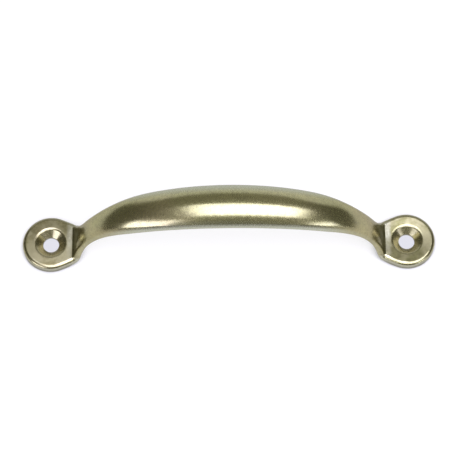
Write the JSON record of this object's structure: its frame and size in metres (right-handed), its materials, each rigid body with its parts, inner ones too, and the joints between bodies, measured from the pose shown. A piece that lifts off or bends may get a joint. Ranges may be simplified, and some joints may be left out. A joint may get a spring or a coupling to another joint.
{
  "type": "door pull",
  "caption": "Bow-shaped door pull pressed from one strip of plated sheet steel, with round dimpled feet, a crowned grip and an open back.",
  "frame": {"origin": "midway between the screw holes, on the door's face that the feet stand on", "axes": "+X along the pull from foot to foot, +Y across it, +Z off the door's face"},
  "size_m": [0.147, 0.02, 0.0396],
  "materials": {
    "plated_steel": "satin plating in a pale brass tone"
  },
  "bodies": {
    "root": {"bow_pull": "plated_steel"}
  },
  "joints": []
}
